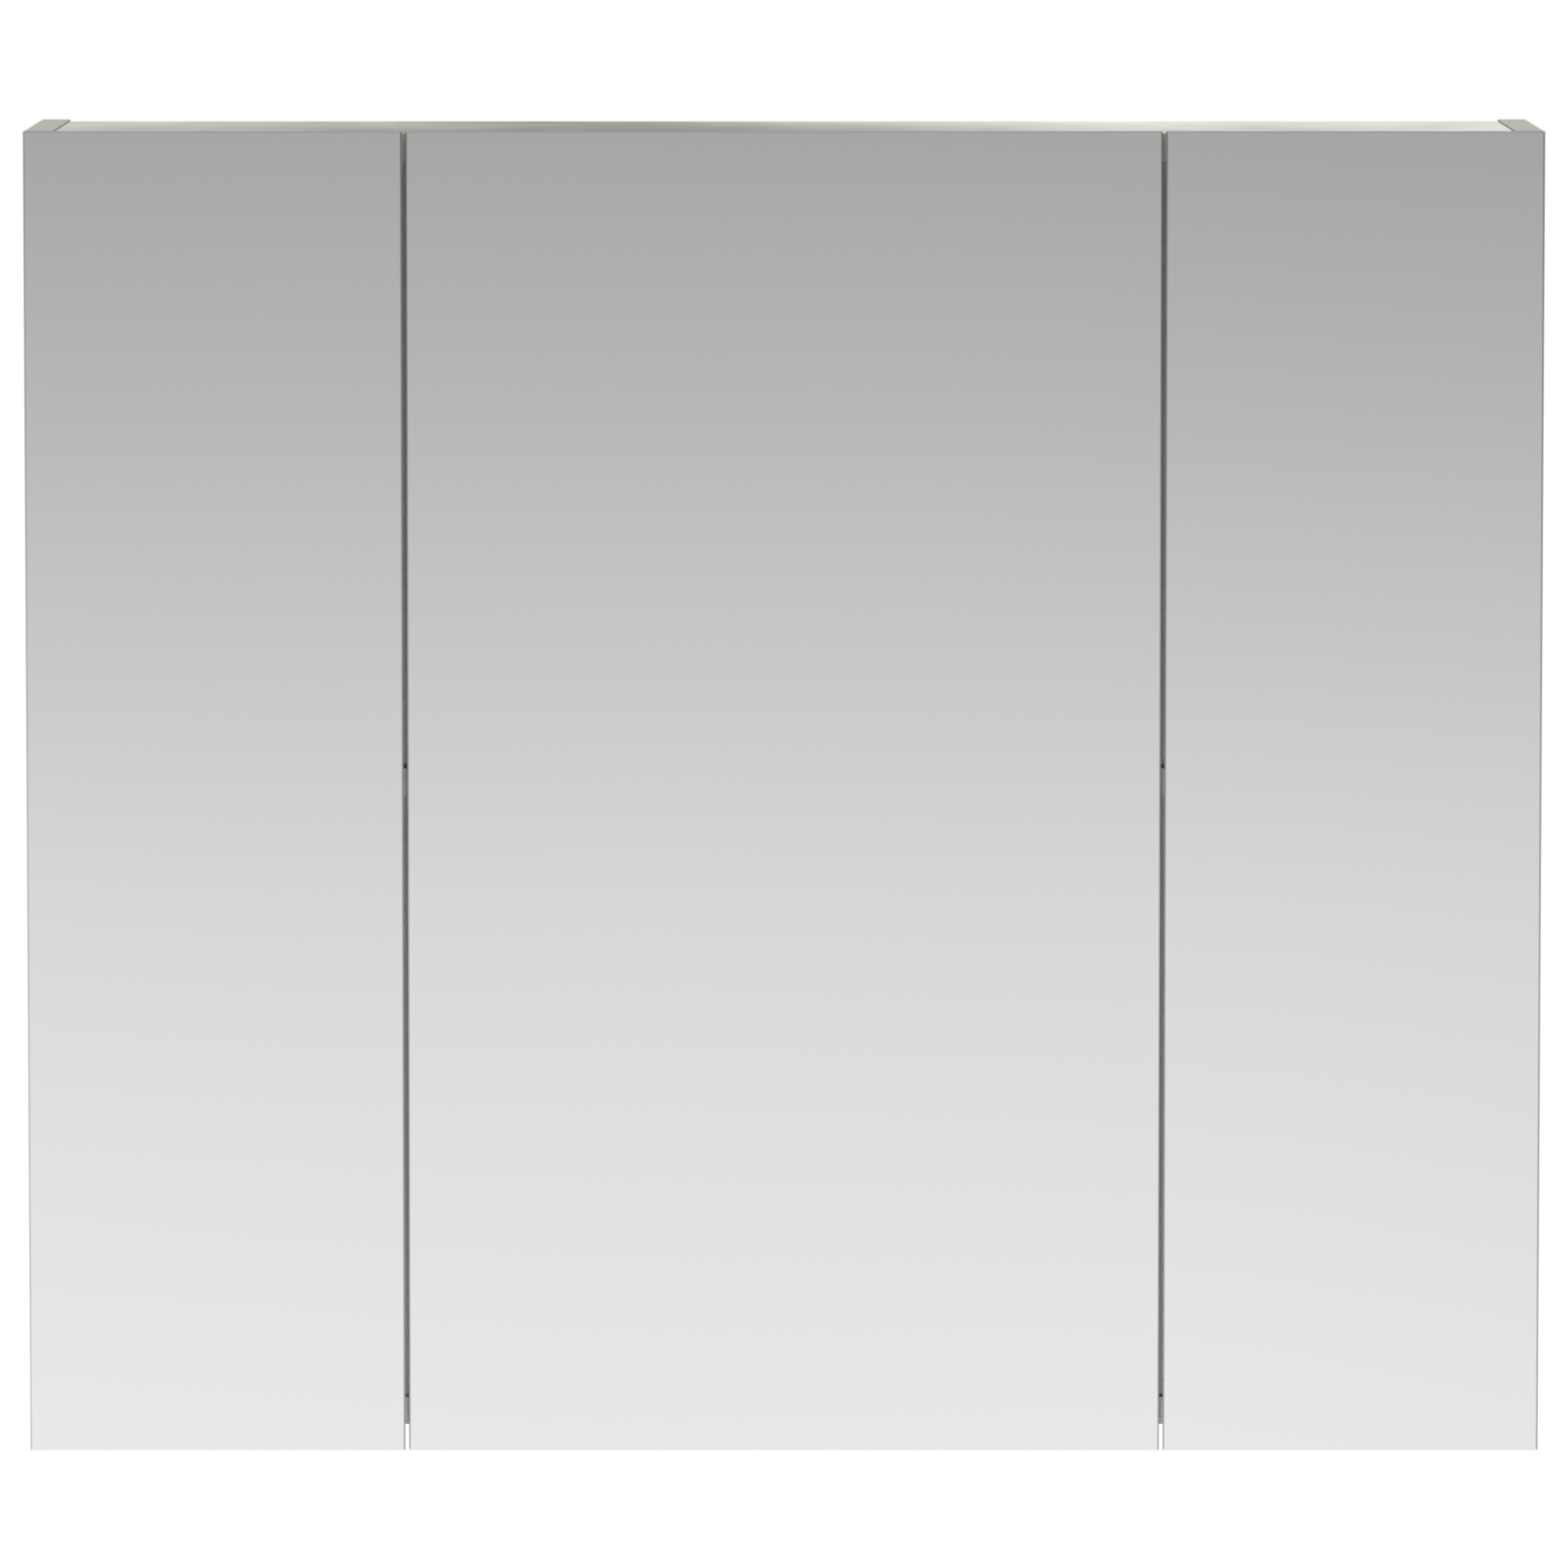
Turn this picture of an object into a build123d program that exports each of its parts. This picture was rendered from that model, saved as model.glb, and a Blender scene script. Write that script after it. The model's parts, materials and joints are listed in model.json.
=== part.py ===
from build123d import *
import os
from math import cos, radians, sin

os.makedirs("parts", exist_ok=True)

# Wall-hung bathroom cabinet with three frameless mirror doors, in millimetres.
# +Z is up, the doors face -Y and the wall is at the +Y end. The origin is in the middle of
# the footprint, level with the lower edges of the doors, which hang below the carcass.

# ---- driving dimensions: cabinet ----------------------------------------------------
cabinet_width = 800
cabinet_height = 700
cabinet_depth = 160

mirror_thickness = 5
mirror_arris = 0.8           # polished bevel round each mirror's front
mirror_back_arris = 0.5
door_slit = 2                # clear slit between neighbouring doors
door_standoff = 2            # from the mirrors' backs to the carcass front
door_overhang = 13           # finger grip below the carcass

board = 15                   # coated particle board
band = 1                     # edge band
band_rounding = 0.5          # along the bands' free edges
top_step = 1.1               # the top panel lies this much below the side panels' tops
divider_middle = 200         # the dividers' middles, each side of the cabinet's middle
divider_setback = 3          # dividers start behind the shelf's front edge

back_thickness = 3
back_recess = 15             # room for the wall plates behind the back panel
groove_depth = 6
groove_clearance = 0.1       # each side of the back panel in its groove
groove_end_room = 0.5
butt_gap = 0.2               # between boards that only stand close to each other

# ---- driving dimensions: fittings ---------------------------------------------------
dowel_radius = 4
dowel_length = 30
dowel_depth = 10             # how deep a dowel goes into the board beside it
dowel_end_room = 0.5
dowel_chamfer = 0.8

cam_radius = 7.5
cam_height = 11.8
cam_pocket_depth = 12
cam_pocket_clearance = 0.1
cam_inset = 24               # from a cross panel's end to the middle of its cam
cam_bore_radius = 3.9
cam_bore_room = 1            # past the bolt's head
cam_slot_length = 7          # the driver's cross slot
cam_slot_width = 1.2
cam_slot_depth = 1.5
bolt_radius = 2.5
bolt_depth = 10
bolt_shank_radius = 3
bolt_neck_radius = 1.8
bolt_head_radius = 3.4
bolt_end_room = 0.5          # under the bolt's tapered end
bolt_taper = 1
bolt_shank_end = -8          # along the bolt from the cam's middle, as the next three
bolt_neck_rows = (-7, -4)
bolt_head_rows = (-2.5, 0.5)
bolt_tip_row = 2
shank_bore_radius = 4

bumper_radius = 4
bumper_thickness = 1.7
bumper_inset = 15            # from a door's free edge to its bumpers

# ---- driving dimensions: hinges -----------------------------------------------------
# Each hinge is a double parallelogram: two cranks on the arm stay parallel to the door's
# shoe, and two couplers join crank to crank and reach on to the shoe. The shoe then turns
# about a line inside the mirror's own thickness, so the door's edge never leaves the slit.
# Plan distances start at the mirror's hinge edge (x, inwards) and the carcass front (y, back).
hinge_inset = 90             # from each end of the carcass to a hinge's middle
pivot_line = (3.3, -5)       # where the door turns
crank_angle = 26             # plan angle of cranks and shoe when the door is shut
coupler_angle = 55
crank_reach = (20.5, 34.5)   # from a crank's fixed pin to its two coupler pins
arm_reach = (33, 47.5)       # from the pivot line to the arm's two pins
link_radius = 3
pin_radius = 1.25
pin_clearance = 0.05
rivet_radius = 2
rivet_height = 0.7
crank_layer = (-2, 2)
coupler_layers = ((-4.3, -2.3), (2.3, 4.3))
cheek_layers = ((-6.4, -4.6), (4.6, 6.4))
cheek_radius = 4

shoe_span = (19, 47)
shoe_height = 43.5
shoe_thickness = 1.8
shoe_corner = 4
shoe_cheek_margin = 4        # from the shoe's sides to its cheeks
pad_thickness = 0.3          # adhesive between mirror and shoe
pad_margin = 1
pad_corner = 3
plate_thickness = 2
plate_rows = (14, 60)        # depths behind the carcass front, as all the rows below
plate_height = 46
plate_strip_height = 17
plate_strip_corner = 3
plate_wing_width = 18
plate_wing_corner = 4
arm_thickness = 1.8
arm_rows = (12, 58)
cheek_foot_rows = (14, 44)
plate_screw_row = 37
plate_screw_step = 16        # above and below the hinge's middle
plate_screw_room = 0.5       # a screw ends this far above its hole's bottom
arm_screw_row = 53
arm_screw_radius = 2
arm_screw_depth = 8
screw_head_radius = 3.6
screw_head_height = 1.6
recess_width = 0.9
recess_depth = 0.9

# ---- driving dimensions: hanging on the wall ----------------------------------------
hanger_width = 17
hanger_depth = 41
hanger_height = 55
hanger_drop = 4              # from the top panel down to the hanger
hanger_wall = 1.5
cap_wall = 1.2
cap_gap = 0.2
cap_front_room = 3.4
cap_rounding = 2
hook_width = 10
hook_thickness = 2.5
hook_tip_drop = 12
hook_level = 18              # below the housing's top
hook_root_room = 2           # from the upper adjuster's end to the hook's root
hook_root_length = 6
hook_root_height = 16
hook_taper = 6
hook_height = 4
hook_tip_gap = 0.25          # between the hook's tip and the wall plate's lip
hook_window_width = 14
hook_window_height = 26
hook_window_corner = 3
hook_window_drop = 2         # its middle lies below the hook's
adjuster_radius = 2.5
adjuster_length = 14
adjuster_inset = 12          # the lower adjuster, above the housing's foot
adjuster_head_radius = 4
adjuster_recess = 4.4        # length of its cross recess
wall_plate_width = 58
wall_plate_height = 50
wall_plate_thickness = 2
wall_plate_step = 6          # how far the plate's lip stands off the wall
wall_plate_gap = 0.3         # under the hook
wall_plate_end_room = 1      # beside the side panels
lip_height = 16
lip_slope = 6
lip_bend = 1                 # the bend's inner line is this much lower than its outer
wall_hole_inset = 14         # from the plate's lower edge
wall_hole_radius = 3.25
wall_hole_spacing = 32

# ---- places -------------------------------------------------------------------------
mirror_front = -cabinet_depth / 2
mirror_back = mirror_front + mirror_thickness
carcass_front = mirror_back + door_standoff
board_front = carcass_front + band
wall_plane = cabinet_depth / 2
back_rear = wall_plane - back_recess
back_front = back_rear - back_thickness
inner_rear = back_front - butt_gap           # shelf and dividers end just before the back

half_width = cabinet_width / 2
inner_half = half_width - board
carcass_bottom = door_overhang
bottom_top = carcass_bottom + board
top_bottom = cabinet_height - top_step - board
shelf_bottom = (bottom_top + top_bottom - board) / 2
shelf_top = shelf_bottom + board

cross_panels = {"top_panel": top_bottom, "middle_shelf": shelf_bottom, "bottom_panel": carcass_bottom}
cam_rows = (-42, 38)
side_dowel_row = -2
divider_bays = {
    "upper": {"z": (shelf_top, top_bottom), "dowel_rows": (-48, 24)},
    "lower": {"z": (bottom_top, shelf_bottom), "dowel_rows": (-30, 42)},
}
hinge_levels = (carcass_bottom + hinge_inset, cabinet_height - hinge_inset)

# each door: x of its hinge edge, the way from there to its free edge, and its width
narrow_width = half_width - divider_middle - door_slit / 2
wide_width = 2 * divider_middle - door_slit
doors = {
    "left": {"edge": -half_width, "way": 1, "width": narrow_width},
    "middle": {"edge": -divider_middle + door_slit / 2, "way": 1, "width": wide_width},
    "right": {"edge": half_width, "way": -1, "width": narrow_width},
}


def export_piece(piece, name):
    """Label a finished sub-part and write its STEP file."""
    piece.part.label = name
    export_step(piece.part, f"parts/{name}.step")


def middle(span):
    return (span[0] + span[1]) / 2


def length(span):
    return abs(span[1] - span[0])


def facing(x, y, z, direction):
    """The mouth of a hole, or the foot of a pin, on a face that looks along direction."""
    return Plane(origin=(x, y, z), z_dir=direction).location


def block(x, y, z):
    """A plain block between the given low and high coordinates."""
    with BuildPart() as piece:
        with BuildSketch(Plane.XY.offset(z[0])):
            with Locations((middle(x), middle(y))):
                Rectangle(length(x), length(y))
        extrude(amount=length(z))
    return piece.part


# ---- carcass boards -----------------------------------------------------------------
side_board_z = (carcass_bottom + band, cabinet_height - band)
for side, name in ((-1, "left_side_panel"), (1, "right_side_panel")):
    inner_face = side * inner_half
    inwards = (-side, 0, 0)
    with BuildPart() as side_panel:
        with BuildSketch(Plane.XY.offset(side_board_z[0])):
            with Locations((side * (half_width - board / 2), (board_front + wall_plane) / 2)):
                Rectangle(board, wall_plane - board_front)
        extrude(amount=length(side_board_z))
        with BuildSketch(Plane.XY.offset(bottom_top - groove_depth)):
            with Locations((side * (inner_half + groove_depth / 2), (back_front + back_rear) / 2)):
                Rectangle(groove_depth, back_thickness + 2 * groove_clearance)
        extrude(amount=top_bottom - bottom_top + 2 * groove_depth, mode=Mode.SUBTRACT)
        for panel_bottom in cross_panels.values():
            level = panel_bottom + board / 2
            with Locations(*[facing(inner_face, row, level, inwards) for row in cam_rows]):
                Hole(bolt_radius, depth=bolt_depth)
            with Locations(facing(inner_face, side_dowel_row, level, inwards)):
                Hole(dowel_radius, depth=dowel_depth + dowel_end_room)
        for level in hinge_levels:
            for step in (-plate_screw_step, plate_screw_step):
                with Locations(facing(inner_face, carcass_front + plate_screw_row, level + step, inwards)):
                    Hole(bolt_radius, depth=bolt_depth)
            with Locations(facing(inner_face, carcass_front + arm_screw_row, level, inwards)):
                Hole(arm_screw_radius, depth=arm_screw_depth)
    export_piece(side_panel, name)

divider_dowels = []          # mouths of the dowel holes at the dividers' ends
for name, panel_bottom in cross_panels.items():
    is_shelf = name == "middle_shelf"
    rear = inner_rear if is_shelf else wall_plane
    level = panel_bottom + board / 2
    with BuildPart() as cross_panel:
        with BuildSketch(Plane.XY.offset(panel_bottom)):
            with Locations((0, (board_front + rear) / 2)):
                Rectangle(2 * inner_half, rear - board_front)
        extrude(amount=board)
        if not is_shelf:
            groove_bottom = panel_bottom if name == "top_panel" else panel_bottom + board - groove_depth
            with BuildSketch(Plane.XY.offset(groove_bottom)):
                with Locations((0, (back_front + back_rear) / 2)):
                    Rectangle(2 * inner_half, back_thickness + 2 * groove_clearance)
            extrude(amount=groove_depth, mode=Mode.SUBTRACT)
        for side in (-1, 1):
            outwards = (side, 0, 0)
            with Locations(*[facing(side * inner_half, row, level, outwards) for row in cam_rows]):
                Hole(shank_bore_radius, depth=cam_inset)
            with Locations(facing(side * inner_half, side_dowel_row, level, outwards)):
                Hole(dowel_radius, depth=dowel_length - dowel_depth + dowel_end_room)
            cam_x = side * (inner_half - cam_inset)
            with Locations(*[facing(cam_x, row, panel_bottom, (0, 0, -1)) for row in cam_rows]):
                Hole(cam_radius + cam_pocket_clearance, depth=cam_pocket_depth)
        for bay in divider_bays.values():
            for end, up in ((bay["z"][0], 1), (bay["z"][1], -1)):
                if end not in (panel_bottom, panel_bottom + board):
                    continue
                for side in (-1, 1):
                    for row in bay["dowel_rows"]:
                        with Locations(facing(side * divider_middle, row, end, (0, 0, up))):
                            Hole(dowel_radius, depth=dowel_depth + dowel_end_room)
                        divider_dowels.append((side * divider_middle, row, end, up))
    export_piece(cross_panel, name)

divider_front = carcass_front + divider_setback
for bay_name, bay in divider_bays.items():
    for side, side_name in ((-1, "left"), (1, "right")):
        with BuildPart() as divider:
            with BuildSketch(Plane.XY.offset(bay["z"][0])):
                with Locations((side * divider_middle, (divider_front + band + inner_rear) / 2)):
                    Rectangle(board, inner_rear - divider_front - band)
            extrude(amount=length(bay["z"]))
            for end, up in ((bay["z"][0], -1), (bay["z"][1], 1)):
                with Locations(*[facing(side * divider_middle, row, end, (0, 0, up))
                                 for row in bay["dowel_rows"]]):
                    Hole(dowel_radius, depth=dowel_length - dowel_depth + dowel_end_room)
            if side < 0:
                # the middle door's hinges stand on the left dividers' right faces
                face = -divider_middle + board / 2
                for level in hinge_levels:
                    if not bay["z"][0] < level < bay["z"][1]:
                        continue
                    for step in (-plate_screw_step, plate_screw_step):
                        row = carcass_front + plate_screw_row
                        with Locations(facing(face, row, level + step, (1, 0, 0))):
                            Hole(bolt_radius, depth=bolt_depth)
        export_piece(divider, f"{bay_name}_{side_name}_divider")

hanger_top = top_bottom - hanger_drop
hook_z = hanger_top - hook_level
with BuildPart() as back_panel:
    back_half = inner_half + groove_depth - groove_end_room
    back_z = (bottom_top - groove_depth + groove_end_room, top_bottom + groove_depth - groove_end_room)
    with BuildSketch(Plane.XY.offset(back_z[0])):
        with Locations((0, (back_front + back_rear) / 2)):
            Rectangle(2 * back_half, back_thickness)
    extrude(amount=length(back_z))
    # windows that the hanger hooks pass through
    with BuildSketch(Plane.XZ.offset(-back_front)):
        with Locations(*[(side * (inner_half - hanger_width / 2), hook_z - hook_window_drop)
                         for side in (-1, 1)]):
            RectangleRounded(hook_window_width, hook_window_height, hook_window_corner)
    extrude(amount=-back_thickness, mode=Mode.SUBTRACT)
export_piece(back_panel, "back_panel")

# ---- edge bands ---------------------------------------------------------------------
def strip(x, y, z, along, free, end=0):
    """A strip of edge band along one axis, its free face at the low or high end of another."""
    with BuildPart(mode=Mode.PRIVATE) as piece:
        add(block(x, y, z))
        fillet(piece.edges().filter_by(along).group_by(free)[end], band_rounding)
    return piece.part


with BuildPart() as side_front_edge_bands:
    for side in (-1, 1):
        across = (side * half_width, side * inner_half)
        z = (carcass_bottom, cabinet_height)
        add(strip(across, (carcass_front, board_front), z, Axis.Z, Axis.Y))
export_piece(side_front_edge_bands, "side_front_edge_bands")

with BuildPart() as side_end_edge_bands:
    for side in (-1, 1):
        across = (side * half_width, side * inner_half)
        for low, end in ((carcass_bottom, 0), (cabinet_height - band, -1)):
            add(strip(across, (board_front, wall_plane), (low, low + band), Axis.Y, Axis.Z, end))
export_piece(side_end_edge_bands, "side_end_edge_bands")

with BuildPart() as cross_edge_bands:
    for panel_bottom in cross_panels.values():
        z = (panel_bottom, panel_bottom + board)
        add(strip((-inner_half, inner_half), (carcass_front, board_front), z, Axis.X, Axis.Y))
export_piece(cross_edge_bands, "cross_edge_bands")

with BuildPart() as divider_edge_bands:
    for bay in divider_bays.values():
        for side in (-1, 1):
            across = (side * divider_middle - board / 2, side * divider_middle + board / 2)
            add(strip(across, (divider_front, divider_front + band), bay["z"], Axis.Z, Axis.Y))
export_piece(divider_edge_bands, "divider_edge_bands")

# ---- knock-down fittings ------------------------------------------------------------
# A dowel stands with its middle mark at the origin and reaches dowel_depth below it.
with BuildPart() as dowel:
    with BuildSketch(Plane.XY.offset(-dowel_depth)):
        Circle(dowel_radius)
    extrude(amount=dowel_length)
    chamfer(dowel.edges().filter_by(GeomType.CIRCLE), dowel_chamfer)

side_joints = [(side, row, panel_bottom + board / 2)
               for side in (-1, 1) for row in cam_rows for panel_bottom in cross_panels.values()]
with BuildPart() as dowels:
    for side in (-1, 1):
        for panel_bottom in cross_panels.values():
            foot = facing(side * inner_half, side_dowel_row, panel_bottom + board / 2, (-side, 0, 0))
            with Locations(foot):
                add(dowel.part)
    for x, row, end, up in divider_dowels:
        with Locations(facing(x, row, end, (0, 0, up))):
            add(dowel.part)
export_piece(dowels, "dowels")

# A cam bolt along +Z: thread in the side panel, shank in the cross panel, head in the cam.
with BuildPart() as cam_bolt:
    with BuildSketch(Plane.XZ):
        with BuildLine():
            end = -bolt_depth + bolt_end_room
            Polyline((0, end), (bolt_radius, end + bolt_taper), (bolt_radius, 0),
                     (bolt_shank_radius, 0), (bolt_shank_radius, cam_inset + bolt_shank_end),
                     *[(bolt_neck_radius, cam_inset + row) for row in bolt_neck_rows],
                     *[(bolt_head_radius, cam_inset + row) for row in bolt_head_rows],
                     (bolt_neck_radius, cam_inset + bolt_tip_row), (0, cam_inset + bolt_tip_row),
                     close=True)
        make_face()
    revolve(axis=Axis.Z)

with BuildPart() as cam_bolts:
    for side, row, level in side_joints:
        with Locations(facing(side * inner_half, row, level, (-side, 0, 0))):
            add(cam_bolt.part)
export_piece(cam_bolts, "cam_bolts")

with BuildPart() as cam_nuts:
    for side, row, level in side_joints:
        mouth = level - board / 2
        cam_x = side * (inner_half - cam_inset)
        with BuildPart(mode=Mode.PRIVATE) as cam_nut:
            with Locations(facing(cam_x, row, mouth, (0, 0, -1))):
                Cylinder(cam_radius, cam_height, align=(Align.CENTER, Align.CENTER, Align.MAX))
            # way in for the bolt's head, and the driver's cross slot
            with Locations(facing(cam_x + side * cam_radius, row, level, (side, 0, 0))):
                Hole(cam_bore_radius, depth=cam_radius + bolt_head_radius + cam_bore_room)
            with Locations(facing(cam_x, row, mouth, (0, 0, -1))):
                for slot in ((cam_slot_length, cam_slot_width), (cam_slot_width, cam_slot_length)):
                    Box(*slot, cam_slot_depth, align=(Align.CENTER, Align.CENTER, Align.MAX),
                        mode=Mode.SUBTRACT)
        add(cam_nut.part)
export_piece(cam_nuts, "cam_nuts")

# ---- hanging on the wall ------------------------------------------------------------
hanger_y = (inner_rear - hanger_depth, inner_rear)
hanger_z = (hanger_top - hanger_height, hanger_top)
adjuster_levels = (hanger_z[0] + adjuster_inset, hook_z)
hook_tip_y = wall_plane - wall_plate_step / 2 + hook_thickness / 2 - hook_tip_gap

with BuildPart() as hanger_housings:
    for side in (-1, 1):
        x = (side * inner_half, side * (inner_half - hanger_width))
        add(block(x, hanger_y, hanger_z))
        inner_x = (x[0] - side * hanger_wall, x[1] + side * hanger_wall)
        inner_y = (hanger_y[0] + hanger_wall, hanger_y[1])
        add(block(inner_x, inner_y, (hanger_z[0] + hanger_wall, hanger_z[1] - hanger_wall)),
            mode=Mode.SUBTRACT)
        for level in adjuster_levels:
            with Locations(facing(middle(x), hanger_y[0], level, (0, -1, 0))):
                Hole(adjuster_radius, depth=hanger_wall)
export_piece(hanger_housings, "hanger_housings")

with BuildPart() as hanger_hooks:
    for side in (-1, 1):
        hook_middle = side * (inner_half - hanger_width / 2)
        hook_x = (hook_middle - hook_width / 2, hook_middle + hook_width / 2)
        root = hanger_y[0] + adjuster_length + hook_root_room
        taper = root + hook_root_length
        neck = taper + hook_taper
        root_z = (hook_z - hook_root_height / 2, hook_z + hook_root_height / 2)
        neck_z = (hook_z - hook_height / 2, hook_z + hook_height / 2)
        tip_z = hook_z - hook_tip_drop
        with BuildSketch(Plane.YZ.offset(hook_x[0])):
            with BuildLine():
                Polyline((root, root_z[0]), (root, root_z[1]), (taper, root_z[1]),
                         (neck, neck_z[1]), (hook_tip_y, neck_z[1]), (hook_tip_y, tip_z),
                         (hook_tip_y - hook_thickness, tip_z),
                         (hook_tip_y - hook_thickness, neck_z[0]), (neck, neck_z[0]),
                         (taper, root_z[0]), close=True)
            make_face()
        extrude(amount=hook_width)
export_piece(hanger_hooks, "hanger_hooks")

with BuildPart() as hanger_screws:
    for side in (-1, 1):
        for level in adjuster_levels:
            with Locations(facing(side * (inner_half - hanger_width / 2), hanger_y[0], level, (0, -1, 0))):
                Cylinder(adjuster_radius, adjuster_length,
                         align=(Align.CENTER, Align.CENTER, Align.MAX))
                Cylinder(adjuster_head_radius, screw_head_height,
                         align=(Align.CENTER, Align.CENTER, Align.MIN))
                with Locations((0, 0, screw_head_height)):
                    for slot in ((adjuster_recess, recess_width), (recess_width, adjuster_recess)):
                        Box(*slot, 2 * recess_depth, mode=Mode.SUBTRACT)
export_piece(hanger_screws, "hanger_screws")

with BuildPart() as hanger_caps:
    for side in (-1, 1):
        reach = cap_wall + cap_gap
        x = (side * inner_half, side * (inner_half - hanger_width - reach))
        y = (hanger_y[0] - cap_front_room - cap_wall, hanger_y[1])
        z = (hanger_z[0] - reach, hanger_z[1] + reach)
        with BuildPart(mode=Mode.PRIVATE) as cap:
            add(block(x, y, z))
            free_edges = cap.faces().sort_by(Axis.Y)[0].edges() + cap.edges().filter_by(Axis.Y)
            rounded = [edge for edge in free_edges if abs(edge.center().X) < inner_half - cap_gap]
            fillet(rounded, cap_rounding)
            add(block((x[0], x[1] + side * cap_wall), (y[0] + cap_wall, y[1]),
                      (z[0] + cap_wall, z[1] - cap_wall)), mode=Mode.SUBTRACT)
        add(cap.part)
export_piece(hanger_caps, "hanger_caps")

# The lip stands off the wall, so that the hooks' tips drop in behind it.
wall_plate_top = hook_z - hook_height / 2 - wall_plate_gap
wall_plate_foot = wall_plate_top - wall_plate_height
lip_foot = wall_plate_top - lip_height
bend_foot = lip_foot - lip_bend
hole_level = wall_plate_foot + wall_hole_inset
plate_outer = inner_half - wall_plate_end_room
wall_hole_middle = plate_outer - wall_plate_width / 2
with BuildPart() as wall_plates:
    for side in (-1, 1):
        outer, inner = side * plate_outer, side * (plate_outer - wall_plate_width)
        rear_y = (wall_plane, wall_plane - wall_plate_step)
        front_y = [y - wall_plate_thickness for y in rear_y]
        with BuildSketch(Plane.YZ.offset(min(outer, inner))):
            with BuildLine():
                Polyline((rear_y[0], wall_plate_foot), (rear_y[0], lip_foot - lip_slope),
                         (rear_y[1], lip_foot), (rear_y[1], wall_plate_top),
                         (front_y[1], wall_plate_top), (front_y[1], bend_foot),
                         (front_y[0], bend_foot - lip_slope), (front_y[0], wall_plate_foot),
                         close=True)
            make_face()
        extrude(amount=wall_plate_width)
        for step in (-wall_hole_spacing / 2, wall_hole_spacing / 2):
            with Locations(facing(side * wall_hole_middle + step, wall_plane, hole_level, (0, 1, 0))):
                Hole(wall_hole_radius, depth=wall_plate_thickness)
export_piece(wall_plates, "wall_plates")

# ---- hinge plan ---------------------------------------------------------------------


def along(angle, reach, start=pivot_line):
    """Plan point at a reach from start, in the direction of angle."""
    return (start[0] + reach * cos(radians(angle)), start[1] + reach * sin(radians(angle)))


arm_pins = [along(coupler_angle, reach) for reach in arm_reach]
shoe_pins = [along(crank_angle, reach) for reach in crank_reach]
crank_pins = [[along(crank_angle, reach, start) for reach in crank_reach] for start in arm_pins]
coupler_pins = [[shoe_pins[i], crank_pins[0][i], crank_pins[1][i]] for i in (0, 1)]


def at_door(door, point):
    """A hinge's plan point, placed at a door in the cabinet."""
    return (door["edge"] + door["way"] * point[0], carcass_front + point[1])


def bars(door, points, layers, own_holes, running_holes):
    """Flat bars round the plan points, at both hinges of a door, with holes for their pins."""
    placed = [at_door(door, point) for point in points]
    with BuildPart() as links:
        for level in hinge_levels:
            for low, high in layers:
                with BuildSketch(Plane.XY.offset(level + low)):
                    with Locations(*placed):
                        Circle(link_radius)
                    make_hull()
                    if own_holes:
                        with Locations(*[placed[i] for i in own_holes]):
                            Circle(pin_radius, mode=Mode.SUBTRACT)
                    if running_holes:
                        with Locations(*[placed[i] for i in running_holes]):
                            Circle(pin_radius + pin_clearance, mode=Mode.SUBTRACT)
                extrude(amount=high - low)
    return links


def pins(door, points, span, rivets):
    """Round pins at the plan points, at both hinges of a door, with or without riveted heads."""
    placed = [at_door(door, point) for point in points]
    with BuildPart() as shafts:
        for level in hinge_levels:
            with BuildSketch(Plane.XY.offset(level + span[0])):
                with Locations(*placed):
                    Circle(pin_radius)
            extrude(amount=length(span))
            if rivets:
                for low in (span[0] - rivet_height, span[1]):
                    with BuildSketch(Plane.XY.offset(level + low)):
                        with Locations(*placed):
                            Circle(rivet_radius)
                    extrude(amount=rivet_height)
    return shafts


coupler_span = (coupler_layers[0][0], coupler_layers[1][1])
cheek_span = (cheek_layers[0][0], cheek_layers[1][1])

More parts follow.
